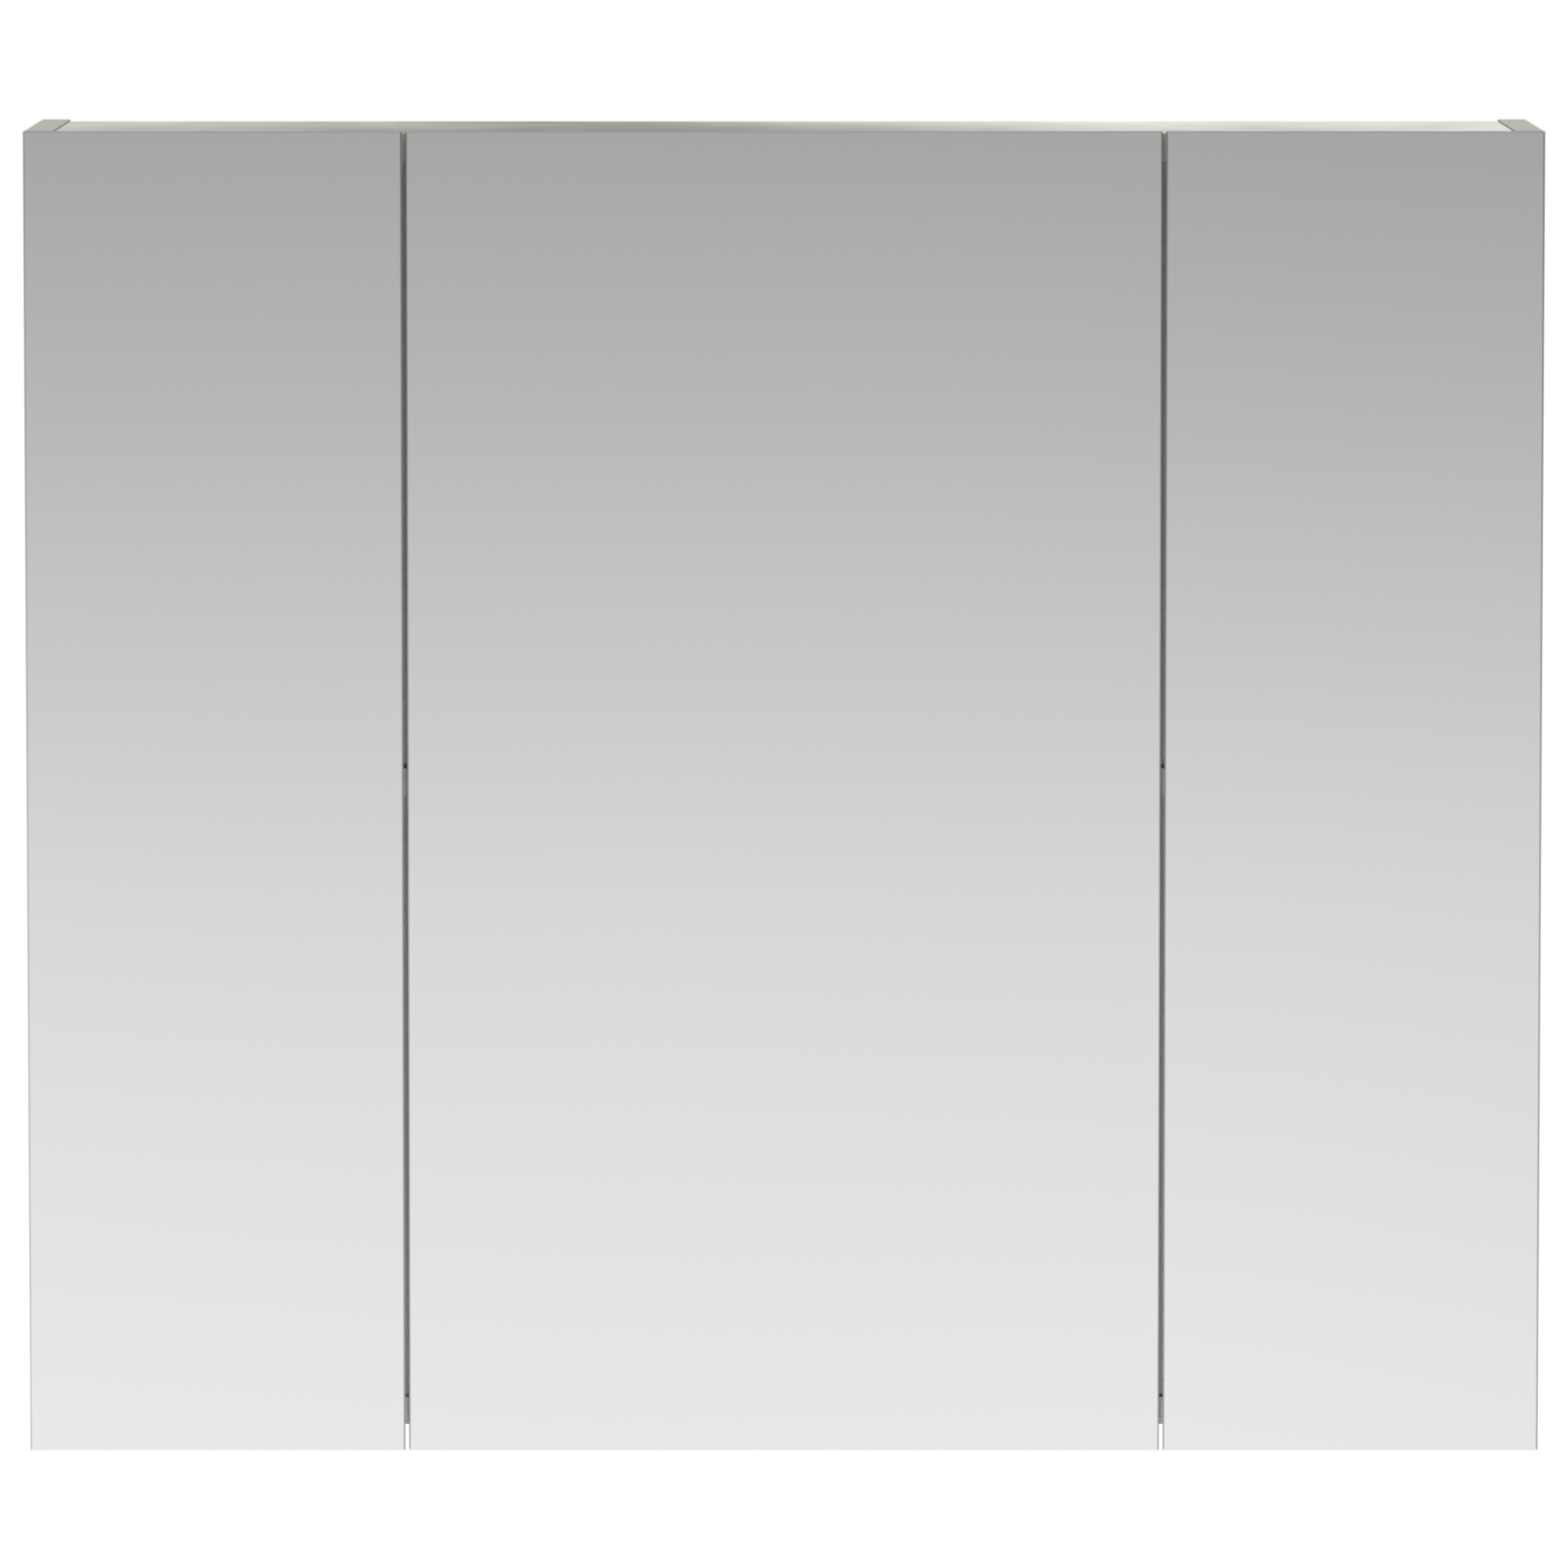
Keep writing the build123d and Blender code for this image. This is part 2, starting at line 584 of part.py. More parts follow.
# ---- doors and what moves with them -------------------------------------------------
for door_name, door in doors.items():
    across = sorted((door["edge"], door["edge"] + door["way"] * door["width"]))
    with BuildPart() as mirror:
        with BuildSketch(Plane.XZ.offset(-mirror_back)):
            with Locations((middle(across), cabinet_height / 2)):
                Rectangle(door["width"], cabinet_height)
        extrude(amount=mirror_thickness)
        chamfer(mirror.faces().sort_by(Axis.Y)[0].edges(), mirror_arris)
        chamfer(mirror.faces().sort_by(Axis.Y)[-1].edges(), mirror_back_arris)
    export_piece(mirror, f"{door_name}_mirror")

    shoe_x = [at_door(door, (reach, 0))[0] for reach in shoe_span]
    pad_rear = mirror_back + pad_thickness
    with BuildPart() as shoe_pads:
        for level in hinge_levels:
            with BuildSketch(Plane.XZ.offset(-mirror_back)):
                with Locations((middle(shoe_x), level)):
                    RectangleRounded(length(shoe_x) - 2 * pad_margin, shoe_height - 2 * pad_margin,
                                     pad_corner)
            extrude(amount=-pad_thickness)
    export_piece(shoe_pads, f"{door_name}_shoe_pads")

    shoe_rear = pad_rear + shoe_thickness
    with BuildPart() as shoes:
        for level in hinge_levels:
            with BuildSketch(Plane.XZ.offset(-pad_rear)):
                with Locations((middle(shoe_x), level)):
                    RectangleRounded(length(shoe_x), shoe_height, shoe_corner)
            extrude(amount=-shoe_thickness)
            for low, high in cheek_layers:
                with BuildSketch(Plane.XY.offset(level + low)):
                    with Locations(*[at_door(door, point) for point in shoe_pins]):
                        Circle(cheek_radius)
                    with Locations((middle(shoe_x), shoe_rear - shoe_thickness / 2)):
                        Rectangle(length(shoe_x) - 2 * shoe_cheek_margin, shoe_thickness)
                    make_hull()
                    with Locations(*[at_door(door, point) for point in shoe_pins]):
                        Circle(pin_radius, mode=Mode.SUBTRACT)
                extrude(amount=high - low)
    export_piece(shoes, f"{door_name}_shoes")

    export_piece(pins(door, shoe_pins, cheek_span, rivets=True), f"{door_name}_shoe_pins")
    for i, crank_name in enumerate(("front", "rear")):
        crank_points = [arm_pins[i], *crank_pins[i]]
        cranks = bars(door, crank_points, (crank_layer,), own_holes=(1, 2), running_holes=(0,))
        export_piece(cranks, f"{door_name}_{crank_name}_cranks")
        crank_pin_group = pins(door, crank_pins[i], coupler_span, rivets=False)
        export_piece(crank_pin_group, f"{door_name}_{crank_name}_crank_pins")
    for i, coupler_name in enumerate(("short", "long")):
        couplers = bars(door, coupler_pins[i], coupler_layers, own_holes=(), running_holes=(0, 1, 2))
        export_piece(couplers, f"{door_name}_{coupler_name}_couplers")

# ---- what holds the hinges to the carcass -------------------------------------------


plate_foot = board
arm_foot = plate_foot + plate_thickness
arm_face = arm_foot + arm_thickness
divider_face = (board - door_slit) / 2       # the divider's face, from the middle door's edge


def hinge_outline():
    """Outline of a mounting plate, seen from the side: a strip under the arm and two wings."""
    with BuildSketch(mode=Mode.PRIVATE) as outline:
        with Locations((carcass_front + middle(plate_rows), 0)):
            RectangleRounded(length(plate_rows), plate_strip_height, plate_strip_corner)
        with Locations((carcass_front + plate_screw_row, 0)):
            RectangleRounded(plate_wing_width, plate_height, plate_wing_corner)
    return outline.sketch


def hinge_places():
    """Every hinge: its door and the level of its middle."""
    return [(door, level) for door in doors.values() for level in hinge_levels]


def on_plate(door, reach, row, level):
    """A spot on a face that looks into the cabinet, at a reach from the door's hinge edge."""
    x, y = at_door(door, (reach, row))
    return facing(x, y, level, (door["way"], 0, 0))


def plate_layer(door, reach, level):
    """A layer with the mounting plate's outline, from reach[0] to reach[1]."""
    x = at_door(door, (reach[0], 0))[0]
    with BuildPart() as layer:
        with BuildSketch(Plane.YZ.offset(x)):
            with Locations((0, level)):
                add(hinge_outline())
        extrude(amount=door["way"] * length(reach))
    return layer.part


with BuildPart() as hinge_mounting_plates:
    for door, level in hinge_places():
        add(plate_layer(door, (plate_foot, arm_foot), level))
        for step in (-plate_screw_step, plate_screw_step):
            with Locations(on_plate(door, arm_foot, plate_screw_row, level + step)):
                Hole(bolt_radius, depth=plate_thickness)
        with Locations(on_plate(door, arm_foot, arm_screw_row, level)):
            Hole(arm_screw_radius, depth=plate_thickness)
export_piece(hinge_mounting_plates, "hinge_mounting_plates")

with BuildPart() as hinge_spacers:
    door = doors["middle"]
    for level in hinge_levels:
        add(plate_layer(door, (divider_face, plate_foot), level))
        for step in (-plate_screw_step, plate_screw_step):
            with Locations(on_plate(door, plate_foot, plate_screw_row, level + step)):
                Hole(bolt_radius, depth=plate_foot - divider_face)
        with Locations(on_plate(door, plate_foot, arm_screw_row, level)):
            Hole(arm_screw_radius, depth=arm_screw_depth)
export_piece(hinge_spacers, "hinge_spacers")

with BuildPart() as hinge_arms:
    for door, level in hinge_places():
        x = sorted(at_door(door, (reach, 0))[0] for reach in (arm_foot, arm_face))
        placed = [at_door(door, point) for point in arm_pins]
        y = [carcass_front + row for row in arm_rows]
        add(block(x, y, (level + cheek_span[0], level + cheek_span[1])))
        for low, high in cheek_layers:
            with BuildSketch(Plane.XY.offset(level + low)):
                with Locations(*placed):
                    Circle(cheek_radius)
                with Locations((middle(x), carcass_front + middle(cheek_foot_rows))):
                    Rectangle(arm_thickness, length(cheek_foot_rows))
                make_hull()
                with Locations(*placed):
                    Circle(pin_radius, mode=Mode.SUBTRACT)
            extrude(amount=high - low)
        with Locations(on_plate(door, arm_face, arm_screw_row, level)):
            Hole(arm_screw_radius, depth=arm_thickness)
export_piece(hinge_arms, "hinge_arms")

with BuildPart() as hinge_arm_pins:
    for door in doors.values():
        add(pins(door, arm_pins, cheek_span, rivets=True).part)
export_piece(hinge_arm_pins, "hinge_arm_pins")


def screw(radius, shank):
    """A pan-head screw with a cross recess: its head's foot at the origin, its shank below."""
    with BuildPart() as piece:
        with BuildSketch(Plane.XY.offset(-shank)):
            Circle(radius)
        extrude(amount=shank)
        chamfer(piece.faces().sort_by(Axis.Z)[0].edges(), radius / 3)
        with BuildSketch():
            Circle(screw_head_radius)
        extrude(amount=screw_head_height)
        fillet(piece.faces().sort_by(Axis.Z)[-1].edges(), screw_head_height / 2)
        with BuildSketch(Plane.XY.offset(screw_head_height)):
            Rectangle(screw_head_radius, recess_width)
            Rectangle(recess_width, screw_head_radius)
        extrude(amount=-recess_depth, mode=Mode.SUBTRACT)
    return piece.part


with BuildPart() as plate_screws:
    for door, level in hinge_places():
        under_plate = plate_foot - divider_face if door is doors["middle"] else 0
        shank = plate_thickness + under_plate + bolt_depth - plate_screw_room
        with Locations(*[on_plate(door, arm_foot, plate_screw_row, level + step)
                         for step in (-plate_screw_step, plate_screw_step)]):
            add(screw(bolt_radius, shank))
export_piece(plate_screws, "plate_screws")

with BuildPart() as arm_screws:
    arm_shank = arm_thickness + plate_thickness + arm_screw_depth - plate_screw_room
    for door, level in hinge_places():
        with Locations(on_plate(door, arm_face, arm_screw_row, level)):
            add(screw(arm_screw_radius, arm_shank))
export_piece(arm_screws, "arm_screws")

# ---- bumpers under the doors' free edges --------------------------------------------
with BuildPart() as door_bumpers:
    for door in doors.values():
        x = door["edge"] + door["way"] * (door["width"] - bumper_inset)
        for panel_bottom in (top_bottom, carcass_bottom):
            with BuildSketch(Plane.XZ.offset(-carcass_front)):
                with Locations((x, panel_bottom + board / 2)):
                    Circle(bumper_radius)
            extrude(amount=bumper_thickness)
    fillet(door_bumpers.faces().filter_by(Axis.Y).group_by(Axis.Y)[0].edges(), bumper_thickness / 2)
export_piece(door_bumpers, "door_bumpers")
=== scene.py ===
import json
import math
import bpy
import numpy as np
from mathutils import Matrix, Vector


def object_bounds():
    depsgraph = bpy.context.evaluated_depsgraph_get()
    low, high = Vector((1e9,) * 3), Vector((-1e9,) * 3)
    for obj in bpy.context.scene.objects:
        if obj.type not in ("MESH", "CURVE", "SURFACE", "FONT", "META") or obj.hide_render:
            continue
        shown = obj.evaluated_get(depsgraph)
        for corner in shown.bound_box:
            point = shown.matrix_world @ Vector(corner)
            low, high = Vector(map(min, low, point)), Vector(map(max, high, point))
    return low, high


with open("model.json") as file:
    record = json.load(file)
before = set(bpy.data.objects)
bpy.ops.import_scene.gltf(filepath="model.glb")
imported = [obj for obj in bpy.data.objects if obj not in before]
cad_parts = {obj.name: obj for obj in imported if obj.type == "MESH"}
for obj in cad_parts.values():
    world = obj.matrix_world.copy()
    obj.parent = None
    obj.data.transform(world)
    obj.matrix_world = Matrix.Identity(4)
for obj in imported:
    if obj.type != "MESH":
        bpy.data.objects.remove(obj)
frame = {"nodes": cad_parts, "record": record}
cadLow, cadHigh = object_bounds()

mm = 0.001


def toLinear(hexColour):
    # sRGB hex to linear: v/12.92 below 0.04045, else ((v + 0.055)/1.055)^2.4
    v = np.array([int(hexColour[i:i + 2], 16) for i in (1, 3, 5)]) / 255
    low = v <= 0.04045
    linear = np.where(low, v / 12.92, ((v + 0.055) / 1.055) ** 2.4)
    return (*linear.tolist(), 1.0)


def addNode(tree, kind, links=None, **settings):
    # links join sources to the node's inputs, the dictionary called inputs holds values for
    # them, and every other setting is the node's own
    node = tree.nodes.new(kind)
    inputs = settings.pop("inputs", {})
    for name, value in settings.items():
        setattr(node, name, value)
    for name, value in inputs.items():
        node.inputs[name].default_value = value
    for name, source in (links or {}).items():
        tree.links.new(source, node.inputs[name])
    return node


def newMaterial(name):
    material = bpy.data.materials.new(name)
    material.use_nodes = True
    tree = material.node_tree
    shader = tree.nodes["Principled BSDF"]
    return material, tree, shader


def setShader(shader, **values):
    for name, value in values.items():
        shader.inputs[name.replace("_", " ")].default_value = value


silveredGlass = {
    "silver": "#f0f0f0",        # silver seen through 5 mm of float glass
    "arris": "#eef0ef",         # ground and polished bevel, a thin line round each door
    "shadedSideArris": "#cdd0cf",     # the upright bevels are painted darker: painted shade, so that the slits between the doors read dark
    "edge": "#a9b5af",          # the cut edge shows the glass's green
    "edgeShine": 0.45,          # light that runs in along the polished edge comes back out
    "edgeRough": 0.14,
    "backPaint": "#a3a6a5",     # grey protective paint over the silver
    "paintMottle": "#989c9b",
    "mottleSize": 9,            # mm
    "paintRough": 0.55,
    "peelSize": 1.6,            # mm, orange peel of the sprayed paint
    "peelDepth": 0.05,
    "peelStrength": 0.25,
    "frontTurn": -0.95,         # a normal's y below this is the front, above its opposite the back
    "arrisTurn": -0.3,          # and between this and the front it is the bevel
    "sideTurn": 0.3,            # a bevel whose normal's x is beyond this stands upright
}


def silveredFloatGlass():
    # float glass, silvered and painted on the back, edges ground and polished: a clean mirror
    # in front, a thin darker line at the arris, painted shade on the upright bevels, and matt grey
    # paint with a faint mottle behind
    look = silveredGlass
    material, tree, shader = newMaterial("silvered_float_glass")
    coord = addNode(tree, "ShaderNodeTexCoord")
    facing = addNode(tree, "ShaderNodeSeparateXYZ", {"Vector": coord.outputs["Normal"]})
    isFront = addNode(tree, "ShaderNodeMath", {0: facing.outputs["Y"]}, operation="LESS_THAN",
                      inputs={1: look["frontTurn"]})
    isArris = addNode(tree, "ShaderNodeMath", {0: facing.outputs["Y"]}, operation="LESS_THAN",
                      inputs={1: look["arrisTurn"]})
    isBack = addNode(tree, "ShaderNodeMath", {0: facing.outputs["Y"]}, operation="GREATER_THAN",
                     inputs={1: -look["frontTurn"]})
    sideways = addNode(tree, "ShaderNodeMath", {0: facing.outputs["X"]}, operation="ABSOLUTE")
    isUpright = addNode(tree, "ShaderNodeMath", {0: sideways.outputs[0]}, operation="GREATER_THAN",
                        inputs={1: look["sideTurn"]})
    mottle = addNode(tree, "ShaderNodeTexNoise", {"Vector": coord.outputs["Object"]},
                     inputs={"Scale": 1 / (look["mottleSize"] * mm), "Detail": 3.0})
    paint = addNode(tree, "ShaderNodeMix", {"Factor": mottle.outputs["Fac"]}, data_type="RGBA")
    paint.inputs["A"].default_value = toLinear(look["backPaint"])
    paint.inputs["B"].default_value = toLinear(look["paintMottle"])
    # painted shade: the upright bevels get the darker colour
    arris = addNode(tree, "ShaderNodeMix", {"Factor": isUpright.outputs[0]}, data_type="RGBA")
    arris.inputs["A"].default_value = toLinear(look["arris"])
    arris.inputs["B"].default_value = toLinear(look["shadedSideArris"])
    edge = addNode(tree, "ShaderNodeMix", {"Factor": isArris.outputs[0],
                                           "B": arris.outputs["Result"]}, data_type="RGBA")
    edge.inputs["A"].default_value = toLinear(look["edge"])
    front = addNode(tree, "ShaderNodeMix", {"Factor": isFront.outputs[0],
                                            "A": edge.outputs["Result"]}, data_type="RGBA")
    front.inputs["B"].default_value = toLinear(look["silver"])
    colour = addNode(tree, "ShaderNodeMix",
                     {"Factor": isBack.outputs[0], "A": front.outputs["Result"],
                      "B": paint.outputs["Result"]}, data_type="RGBA")
    tree.links.new(colour.outputs["Result"], shader.inputs["Base Color"])
    # metallic: full on the mirror and bevel, some on the cut edge, none on the paint
    edgeShine = addNode(tree, "ShaderNodeMapRange", {"Value": isArris.outputs[0]},
                        inputs={"To Min": look["edgeShine"]})
    shine = addNode(tree, "ShaderNodeMapRange", {"Value": isBack.outputs[0],
                                                 "To Min": edgeShine.outputs["Result"]},
                    inputs={"To Max": 0.0})
    tree.links.new(shine.outputs["Result"], shader.inputs["Metallic"])
    # roughness: none on the mirror and bevel, a little on the cut edge, matt on the paint
    edgeRough = addNode(tree, "ShaderNodeMapRange", {"Value": isArris.outputs[0]},
                        inputs={"To Min": look["edgeRough"], "To Max": 0.0})
    rough = addNode(tree, "ShaderNodeMapRange", {"Value": isBack.outputs[0],
                                                 "To Min": edgeRough.outputs["Result"]},
                    inputs={"To Max": look["paintRough"]})
    tree.links.new(rough.outputs["Result"], shader.inputs["Roughness"])
    # paint is sprayed: a fine orange peel, only behind
    peel = addNode(tree, "ShaderNodeTexNoise", {"Vector": coord.outputs["Object"]},
                   inputs={"Scale": 1 / (look["peelSize"] * mm), "Detail": 1.0})
    height = addNode(tree, "ShaderNodeMath", {0: peel.outputs["Fac"], 1: isBack.outputs[0]},
                     operation="MULTIPLY")
    bump = addNode(tree, "ShaderNodeBump", {"Height": height.outputs[0]},
                   inputs={"Strength": look["peelStrength"], "Distance": look["peelDepth"] * mm})
    tree.links.new(bump.outputs["Normal"], shader.inputs["Normal"])
    return material


melamineBoard = {
    "dark": "#86867f",
    "mid": "#b1b1aa",
    "light": "#e8e8e0",
    "stops": (0.12, 0.42, 0.78),  # where dark, mid and light stand in the print's tones
    "broadSize": 420,           # mm, the print's slow drift from dark to light
    "broadPlace": (2.5, 4.6, 1.7),  # which stretch of the pattern this cabinet shows
    "broadRange": (0.26, 0.66),
    "cloudSize": 75,            # mm, its soft cloudy blotches
    "cloudShare": 0.33,
    "rough": (0.42, 0.58),
    "ior": 1.5,
    "grainSize": 1.1,           # mm, emboss of the press plate
    "grainDepth": 0.05,
    "grainStrength": 0.3,
    "chipDark": "#8a6a45",
    "chipLight": "#cfb184",
    "chipSize": 2.6,            # mm
    "rearTurn": 0.9,            # a normal's y above this is a rear edge
}


def melamineFacedChipboard():
    # particle board pressed with a printed paper in melamine: a matt stone decor with soft
    # clouds and a fine emboss; sawn rear edges show the chips
    look = melamineBoard
    material, tree, shader = newMaterial("melamine_faced_chipboard")
    coord = addNode(tree, "ShaderNodeTexCoord")
    place = addNode(tree, "ShaderNodeMapping", {"Vector": coord.outputs["Object"]},
                    inputs={"Location": look["broadPlace"]})
    broad = addNode(tree, "ShaderNodeTexNoise", {"Vector": place.outputs["Vector"]},
                    inputs={"Scale": 1 / (look["broadSize"] * mm), "Detail": 1.0, "Roughness": 0.4})
    drift = addNode(tree, "ShaderNodeMapRange", {"Value": broad.outputs["Fac"]},
                    inputs={"From Min": look["broadRange"][0], "From Max": look["broadRange"][1]})
    clouds = addNode(tree, "ShaderNodeTexNoise", {"Vector": coord.outputs["Object"]},
                     inputs={"Scale": 1 / (look["cloudSize"] * mm), "Detail": 4.0,
                             "Roughness": 0.55, "Distortion": 0.6})
    tone = addNode(tree, "ShaderNodeMix",
                   {"A": drift.outputs["Result"], "B": clouds.outputs["Fac"]},
                   inputs={"Factor": look["cloudShare"]})
    ramp = addNode(tree, "ShaderNodeValToRGB", {"Fac": tone.outputs["Result"]})
    ramp.color_ramp.elements.new(0.5)
    tones = zip(ramp.color_ramp.elements, look["stops"], ("dark", "mid", "light"))
    for stop, position, shade in tones:
        stop.position, stop.color = position, toLinear(look[shade])
    # sawn edges: each cell is one chip
    chips = addNode(tree, "ShaderNodeTexVoronoi", {"Vector": coord.outputs["Object"]},
                    inputs={"Scale": 1 / (look["chipSize"] * mm), "Randomness": 1.0})
    chipTone = addNode(tree, "ShaderNodeSeparateColor", {"Color": chips.outputs["Color"]})
    chipColour = addNode(tree, "ShaderNodeMix", {"Factor": chipTone.outputs[0]}, data_type="RGBA")
    chipColour.inputs["A"].default_value = toLinear(look["chipDark"])
    chipColour.inputs["B"].default_value = toLinear(look["chipLight"])
    facing = addNode(tree, "ShaderNodeSeparateXYZ", {"Vector": coord.outputs["Normal"]})
    sawn = addNode(tree, "ShaderNodeMath", {0: facing.outputs["Y"]}, operation="GREATER_THAN",
                   inputs={1: look["rearTurn"]})
    colour = addNode(tree, "ShaderNodeMix", {"Factor": sawn.outputs[0], "A": ramp.outputs["Color"],
                                             "B": chipColour.outputs["Result"]}, data_type="RGBA")
    tree.links.new(colour.outputs["Result"], shader.inputs["Base Color"])
    rough = addNode(tree, "ShaderNodeMapRange", {"Value": clouds.outputs["Fac"]},
                    inputs={"To Min": look["rough"][0], "To Max": look["rough"][1]})
    tree.links.new(rough.outputs["Result"], shader.inputs["Roughness"])
    emboss = addNode(tree, "ShaderNodeTexNoise", {"Vector": coord.outputs["Object"]},
                     inputs={"Scale": 1 / (look["grainSize"] * mm), "Detail": 2.0})
    bump = addNode(tree, "ShaderNodeBump", {"Height": emboss.outputs["Fac"]},
                   inputs={"Strength": look["grainStrength"], "Distance": look["grainDepth"] * mm})
    tree.links.new(bump.outputs["Normal"], shader.inputs["Normal"])
    setShader(shader, IOR=look["ior"])
    return material


fleckStrength = 0.4             # of the relief that the flecks give every speckled finish


def speckled(name, base, fleck, fleckSize, roughness, bumpDepth, metallic=0.0, ior=1.5,
             transmission=0.0):
    # one base tone with fine flecks of a second, and the same flecks as relief; sizes in mm
    material, tree, shader = newMaterial(name)
    coord = addNode(tree, "ShaderNodeTexCoord")
    noise = addNode(tree, "ShaderNodeTexNoise", {"Vector": coord.outputs["Object"]},
                    inputs={"Scale": 1 / (fleckSize * mm), "Detail": 2.0})
    tone = addNode(tree, "ShaderNodeMix", {"Factor": noise.outputs["Fac"]}, data_type="RGBA")
    tone.inputs["A"].default_value = toLinear(base)
    tone.inputs["B"].default_value = toLinear(fleck)
    tree.links.new(tone.outputs["Result"], shader.inputs["Base Color"])
    rough = addNode(tree, "ShaderNodeMapRange", {"Value": noise.outputs["Fac"]},
                    inputs={"To Min": roughness[0], "To Max": roughness[1]})
    tree.links.new(rough.outputs["Result"], shader.inputs["Roughness"])
    bump = addNode(tree, "ShaderNodeBump", {"Height": noise.outputs["Fac"]},
                   inputs={"Strength": fleckStrength, "Distance": bumpDepth * mm})
    tree.links.new(bump.outputs["Normal"], shader.inputs["Normal"])
    setShader(shader, Metallic=metallic, Transmission_Weight=transmission)
    if not metallic:
        setShader(shader, IOR=ior)
    return material, tree, shader


absBand = {
    "base": "#b5b6ad",
    "fleck": "#abaca3",
    "fleckSize": 1.4,
    "roughness": (0.45, 0.55),
    "bumpDepth": 0.02,
}
trimmedSideShade = {
    "paintedShade": "#4d4842",          # painted shade: the bands' sides that face left or right are dark, for the shaded step beside the top panel
    "turn": 0.97,               # a normal's x beyond this is a side that was trimmed flush
}


def absEdgeBand():
    # extruded ABS strip with a matt rolled face, a plain grey line on every front edge; its
    # sides that face left or right are painted dark, painted shade for the step beside the top
    # panel
    material, tree, shader = speckled("abs_edge_band", **absBand)
    coord = addNode(tree, "ShaderNodeTexCoord")
    facing = addNode(tree, "ShaderNodeSeparateXYZ", {"Vector": coord.outputs["Normal"]})
    aside = addNode(tree, "ShaderNodeMath", {0: facing.outputs["X"]}, operation="ABSOLUTE")
    isTrimmed = addNode(tree, "ShaderNodeMath", {0: aside.outputs[0]}, operation="GREATER_THAN",
                        inputs={1: trimmedSideShade["turn"]})
    face = shader.inputs["Base Color"].links[0].from_socket
    # painted shade on the band sides that face left or right
    colour = addNode(tree, "ShaderNodeMix", {"Factor": isTrimmed.outputs[0], "A": face},
                     data_type="RGBA")
    colour.inputs["B"].default_value = toLinear(trimmedSideShade["paintedShade"])
    tree.links.new(colour.outputs["Result"], shader.inputs["Base Color"])
    return material


hardboard = {
    "front": "#cfccc4",
    "frontFleck": "#c6c3bb",
    "rear": "#83623f",
    "rearFleck": "#5d4430",
    "fibreSize": 6,             # mm, clumps of fibre
    "broadSize": 160,           # mm, how the sheet darkened unevenly in the press
    "broadShare": 0.55,
    "spread": (0.3, 0.7),       # the noise's middle range goes over both browns
    "mesh": 3.2,                # mm, twice the real screen's pitch so that it shows
    "meshDepth": 0.3,
    "meshStrength": 0.5,
    "rough": (0.4, 0.8),        # lacquer, bare fibre
    "rearTurn": 0.5,            # a normal's y above this is the rear face
}


def lacqueredHardboard():
    # wet-pressed hardboard: lacquered smooth in front, and behind it keeps the brown
    # wire-mesh face that the press screen left
    look = hardboard
    material, tree, shader = newMaterial("lacquered_hardboard")
    coord = addNode(tree, "ShaderNodeTexCoord")
    facing = addNode(tree, "ShaderNodeSeparateXYZ", {"Vector": coord.outputs["Normal"]})
    isRear = addNode(tree, "ShaderNodeMath", {0: facing.outputs["Y"]}, operation="GREATER_THAN",
                     inputs={1: look["rearTurn"]})
    fibre = addNode(tree, "ShaderNodeTexNoise", {"Vector": coord.outputs["Object"]},
                    inputs={"Scale": 1 / (look["fibreSize"] * mm), "Detail": 6.0})
    broad = addNode(tree, "ShaderNodeTexNoise", {"Vector": coord.outputs["Object"]},
                    inputs={"Scale": 1 / (look["broadSize"] * mm), "Detail": 3.0})
    noise = addNode(tree, "ShaderNodeMix", {"A": fibre.outputs["Fac"], "B": broad.outputs["Fac"]},
                    inputs={"Factor": look["broadShare"]})
    front = addNode(tree, "ShaderNodeMix", {"Factor": fibre.outputs["Fac"]}, data_type="RGBA")
    front.inputs["A"].default_value = toLinear(look["front"])
    front.inputs["B"].default_value = toLinear(look["frontFleck"])
    spread = addNode(tree, "ShaderNodeMapRange", {"Value": noise.outputs["Result"]},
                     inputs={"From Min": look["spread"][0], "From Max": look["spread"][1]})
    rear = addNode(tree, "ShaderNodeMix", {"Factor": spread.outputs["Result"]}, data_type="RGBA")
    rear.inputs["A"].default_value = toLinear(look["rear"])
    rear.inputs["B"].default_value = toLinear(look["rearFleck"])
    colour = addNode(tree, "ShaderNodeMix",
                     {"Factor": isRear.outputs[0], "A": front.outputs["Result"],
                      "B": rear.outputs["Result"]}, data_type="RGBA")
    tree.links.new(colour.outputs["Result"], shader.inputs["Base Color"])
    # press screen: sin(x) times sin(z), one wave to each pitch of the mesh
    place = addNode(tree, "ShaderNodeSeparateXYZ", {"Vector": coord.outputs["Object"]})
    waves = []
    for axis in ("X", "Z"):
        phase = addNode(tree, "ShaderNodeMath", {0: place.outputs[axis]}, operation="MULTIPLY",
                        inputs={1: 2 * math.pi / (look["mesh"] * mm)})
        waves.append(addNode(tree, "ShaderNodeMath", {0: phase.outputs[0]}, operation="SINE"))
    screen = addNode(tree, "ShaderNodeMath", {0: waves[0].outputs[0], 1: waves[1].outputs[0]},
                     operation="MULTIPLY")
    height = addNode(tree, "ShaderNodeMath", {0: screen.outputs[0], 1: isRear.outputs[0]},
                     operation="MULTIPLY")
    bump = addNode(tree, "ShaderNodeBump", {"Height": height.outputs[0]},
                   inputs={"Strength": look["meshStrength"], "Distance": look["meshDepth"] * mm})
    tree.links.new(bump.outputs["Normal"], shader.inputs["Normal"])
    rough = addNode(tree, "ShaderNodeMapRange", {"Value": isRear.outputs[0]},
                    inputs={"To Min": look["rough"][0], "To Max": look["rough"][1]})
    tree.links.new(rough.outputs["Result"], shader.inputs["Roughness"])
    return material


beech = {"base": "#d3ae7c", "fleck": "#bf9562", "fleckSize": 1.8, "roughness": (0.55, 0.7),
         "bumpDepth": 0.05}


def turnedBeech():
    # fluted beech pin, turned: pale brown with short darker flecks
    return speckled("turned_beech", **beech)[0]


